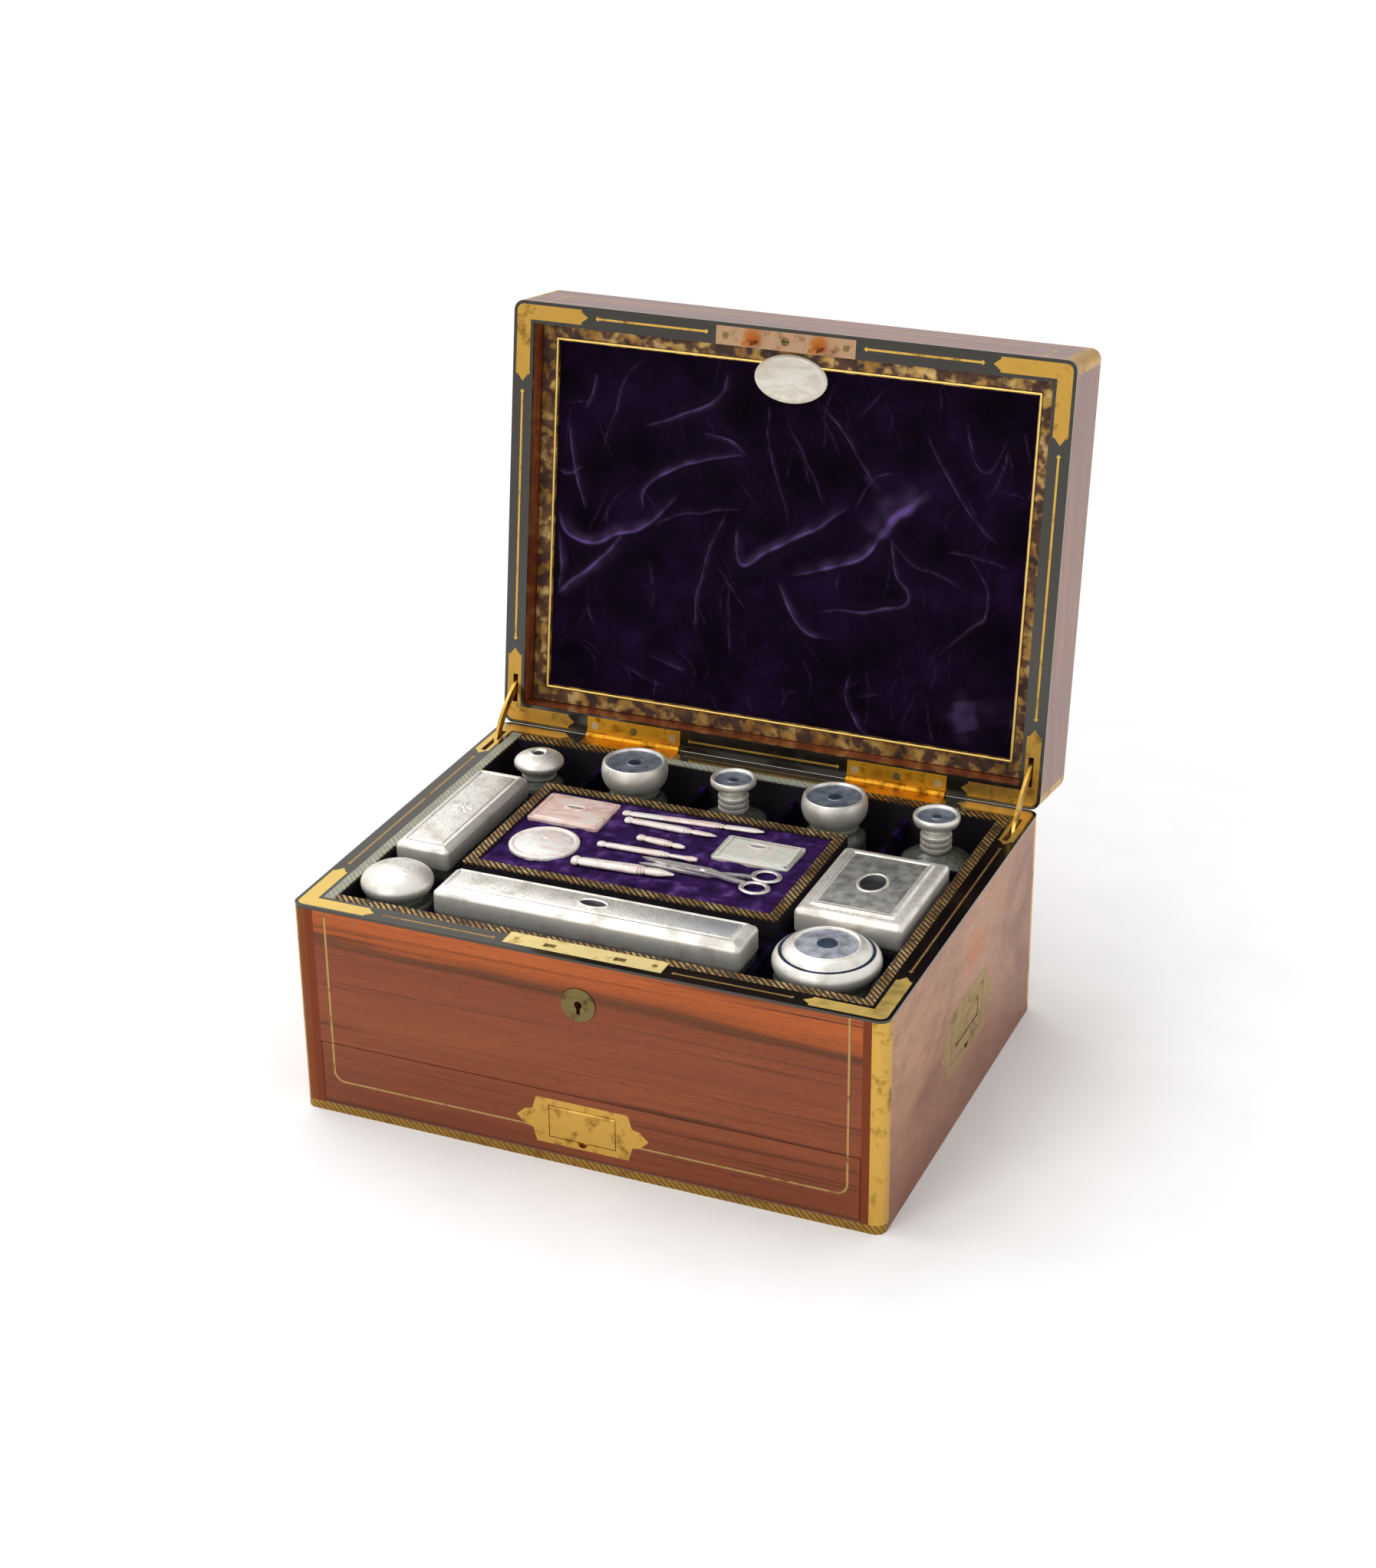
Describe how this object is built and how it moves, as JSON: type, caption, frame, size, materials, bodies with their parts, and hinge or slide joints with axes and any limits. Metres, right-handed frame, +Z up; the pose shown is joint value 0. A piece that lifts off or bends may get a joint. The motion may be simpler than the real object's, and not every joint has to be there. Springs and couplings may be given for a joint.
{
  "type": "fitted dressing box",
  "caption": "Brass-bound rosewood dressing box with a hinged lid on stays, a bottom drawer, a lift-out manicure tray, and silver-topped glass bottles, jars and boxes.",
  "frame": {"origin": "centre of the case's underside", "axes": "+Z up, the drawer and lock face -Y, +X to the right of someone facing the front; the lid rests open"},
  "size_m": [0.33, 0.3346, 0.3707],
  "materials": {
    "rosewood": "french-polished rosewood veneer",
    "mahogany": "plain secondary wood, waxed",
    "ebony": "polished ebony banding",
    "brass": "hand-polished brass with light wear",
    "aged_brass": "darkened brass",
    "copper_brass": "pinkish lacquered brass",
    "steel": "polished steel",
    "gilt_leather": "gilt-tooled leather, rubbed",
    "velvet": "purple silk velvet",
    "mirror": "silvered glass",
    "pearl": "polished mother-of-pearl",
    "glass": "clear cut glass",
    "silver": "engraved polished silver"
  },
  "bodies": {
    "case": {"case_front_panel": "rosewood", "case_side_panels": "rosewood", "case_back_panel": "rosewood", "case_floor_board": "mahogany", "dust_board": "mahogany", "case_rim_banding": "ebony", "case_brass_lines": "brass", "case_brass_bindings": "brass", "case_hinge_leaves": "brass", "lock_case": "brass", "keyhole_escutcheon": "aged_brass", "side_handle_plates": "brass", "liner_boards": "gilt_leather", "well_boards": "velvet"},
    "bolt": {"lock_bolt": "steel"},
    "right_handle": {"right_side_handle": "brass"},
    "left_handle": {"left_side_handle": "brass"},
    "drawer": {"drawer_front": "rosewood", "drawer_brass_lines": "brass", "drawer_box": "mahogany", "drawer_handle_plate": "brass"},
    "drawer_pull": {"drawer_handle": "brass"},
    "lid": {"lid_top_board": "rosewood", "lid_walls": "rosewood", "lid_rim_banding": "ebony", "lid_brass_lines": "brass", "lid_brass_bindings": "brass", "lid_hinge_leaves": "brass", "strike_plate": "copper_brass", "lid_mirror": "mirror"},
    "right_stay": {"right_lid_stay": "brass"},
    "left_stay": {"left_lid_stay": "brass"},
    "wallet": {"wallet_frame": "gilt_leather", "wallet_velvet": "velvet", "oval_plaque": "pearl"},
    "tray": {"tray_frame": "gilt_leather", "tray_velvet": "velvet", "manicure_tools": "pearl", "scissors_lower_half": "steel"},
    "scissors_upper": {"scissors_upper_half": "steel"},
    "dome_bottle": {"dome_bottle_glass": "glass"},
    "dome_bottle_lid": {"dome_bottle_top": "silver"},
    "left_jar": {"left_jar_glass": "glass"},
    "left_jar_lid": {"left_jar_top": "silver"},
    "middle_bottle": {"middle_bottle_glass": "glass"},
    "middle_bottle_lid": {"middle_bottle_top": "silver"},
    "right_jar": {"right_jar_glass": "glass"},
    "right_jar_lid": {"right_jar_top": "silver"},
    "right_bottle": {"right_bottle_glass": "glass"},
    "right_bottle_lid": {"right_bottle_top": "silver"},
    "front_left_jar": {"front_left_jar_glass": "glass"},
    "front_left_jar_lid": {"front_left_jar_top": "silver"},
    "front_right_jar": {"front_right_jar_glass": "glass"},
    "front_right_jar_lid": {"front_right_jar_top": "silver"},
    "left_box": {"left_box_glass": "glass"},
    "left_box_lid": {"left_box_top": "silver"},
    "long_box": {"long_box_glass": "glass"},
    "long_box_lid": {"long_box_top": "silver"},
    "right_box": {"right_box_glass": "glass"},
    "right_box_lid": {"right_box_top": "silver"}
  },
  "joints": [
    {"name": "lock_bolt_slide", "type": "slide", "parent": "case", "child": "bolt", "axis": [1, 0, 0], "range_m": [0, 0.0025]},
    {"name": "right_handle_hinge", "type": "hinge", "parent": "case", "child": "right_handle", "pos_m": [0.1634, 0.004, 0.0645], "axis": [0, -1, 0], "range_deg": [0, 90]},
    {"name": "left_handle_hinge", "type": "hinge", "parent": "case", "child": "left_handle", "pos_m": [-0.1634, 0.004, 0.0645], "axis": [0, 1, 0], "range_deg": [0, 90]},
    {"name": "drawer_slide", "type": "slide", "parent": "case", "child": "drawer", "axis": [0, -1, 0], "range_m": [0, 0.17]},
    {"name": "drawer_pull_hinge", "type": "hinge", "parent": "drawer", "child": "drawer_pull", "pos_m": [0, -0.1238, 0.0324], "axis": [-1, 0, 0], "range_deg": [0, 85]},
    {"name": "lid_hinge", "type": "hinge", "parent": "case", "child": "lid", "pos_m": [0, 0.125, 0.1231], "axis": [-1, 0, 0], "range_deg": [-98, 0]},
    {"name": "right_stay_hinge", "type": "hinge", "parent": "lid", "child": "right_stay", "pos_m": [0.158, 0.13353, 0.14715], "axis": [1, 0, 0], "range_deg": [-49.5, 0]},
    {"name": "left_stay_hinge", "type": "hinge", "parent": "lid", "child": "left_stay", "pos_m": [-0.158, 0.13353, 0.14715], "axis": [1, 0, 0], "range_deg": [-49.5, 0]},
    {"name": "wallet_hinge", "type": "hinge", "parent": "lid", "child": "wallet", "pos_m": [0, 0.13977, 0.13405], "axis": [1, 0, 0], "range_deg": [0, 15]},
    {"name": "tray_lift", "type": "slide", "parent": "case", "child": "tray", "axis": [0, 0, 1], "range_m": [0, 0.04]},
    {"name": "scissors_pivot", "type": "hinge", "parent": "tray", "child": "scissors_upper", "pos_m": [0.02198, -0.01231, 0.124], "axis": [0, 0, -1], "range_deg": [0, 30]},
    {"name": "dome_bottle_lift", "type": "slide", "parent": "case", "child": "dome_bottle", "axis": [0, 0, 1], "range_m": [0, 0.08]},
    {"name": "dome_bottle_top_lift", "type": "slide", "parent": "dome_bottle", "child": "dome_bottle_lid", "axis": [0, 0, 1], "range_m": [0, 0.015]},
    {"name": "left_jar_lift", "type": "slide", "parent": "case", "child": "left_jar", "axis": [0, 0, 1], "range_m": [0, 0.08]},
    {"name": "left_jar_top_lift", "type": "slide", "parent": "left_jar", "child": "left_jar_lid", "axis": [0, 0, 1], "range_m": [0, 0.015]},
    {"name": "middle_bottle_lift", "type": "slide", "parent": "case", "child": "middle_bottle", "axis": [0, 0, 1], "range_m": [0, 0.08]},
    {"name": "middle_bottle_top_lift", "type": "slide", "parent": "middle_bottle", "child": "middle_bottle_lid", "axis": [0, 0, 1], "range_m": [0, 0.015]},
    {"name": "right_jar_lift", "type": "slide", "parent": "case", "child": "right_jar", "axis": [0, 0, 1], "range_m": [0, 0.08]},
    {"name": "right_jar_top_lift", "type": "slide", "parent": "right_jar", "child": "right_jar_lid", "axis": [0, 0, 1], "range_m": [0, 0.015]},
    {"name": "right_bottle_lift", "type": "slide", "parent": "case", "child": "right_bottle", "axis": [0, 0, 1], "range_m": [0, 0.08]},
    {"name": "right_bottle_top_lift", "type": "slide", "parent": "right_bottle", "child": "right_bottle_lid", "axis": [0, 0, 1], "range_m": [0, 0.015]},
    {"name": "front_left_jar_lift", "type": "slide", "parent": "case", "child": "front_left_jar", "axis": [0, 0, 1], "range_m": [0, 0.056]},
    {"name": "front_left_jar_top_lift", "type": "slide", "parent": "front_left_jar", "child": "front_left_jar_lid", "axis": [0, 0, 1], "range_m": [0, 0.015]},
    {"name": "front_right_jar_lift", "type": "slide", "parent": "case", "child": "front_right_jar", "axis": [0, 0, 1], "range_m": [0, 0.056]},
    {"name": "front_right_jar_top_lift", "type": "slide", "parent": "front_right_jar", "child": "front_right_jar_lid", "axis": [0, 0, 1], "range_m": [0, 0.015]},
    {"name": "left_box_lift", "type": "slide", "parent": "case", "child": "left_box", "axis": [0, 0, 1], "range_m": [0, 0.042]},
    {"name": "left_box_top_lift", "type": "slide", "parent": "left_box", "child": "left_box_lid", "axis": [0, 0, 1], "range_m": [0, 0.015]},
    {"name": "long_box_lift", "type": "slide", "parent": "case", "child": "long_box", "axis": [0, 0, 1], "range_m": [0, 0.042]},
    {"name": "long_box_top_lift", "type": "slide", "parent": "long_box", "child": "long_box_lid", "axis": [0, 0, 1], "range_m": [0, 0.015]},
    {"name": "right_box_lift", "type": "slide", "parent": "case", "child": "right_box", "axis": [0, 0, 1], "range_m": [0, 0.05]},
    {"name": "right_box_top_lift", "type": "slide", "parent": "right_box", "child": "right_box_lid", "axis": [0, 0, 1], "range_m": [0, 0.015]}
  ],
  "couplings": [
    {"joint": "right_stay_hinge", "follows": "lid_hinge", "ratio": 0.5},
    {"joint": "left_stay_hinge", "follows": "lid_hinge", "ratio": 0.5}
  ]
}
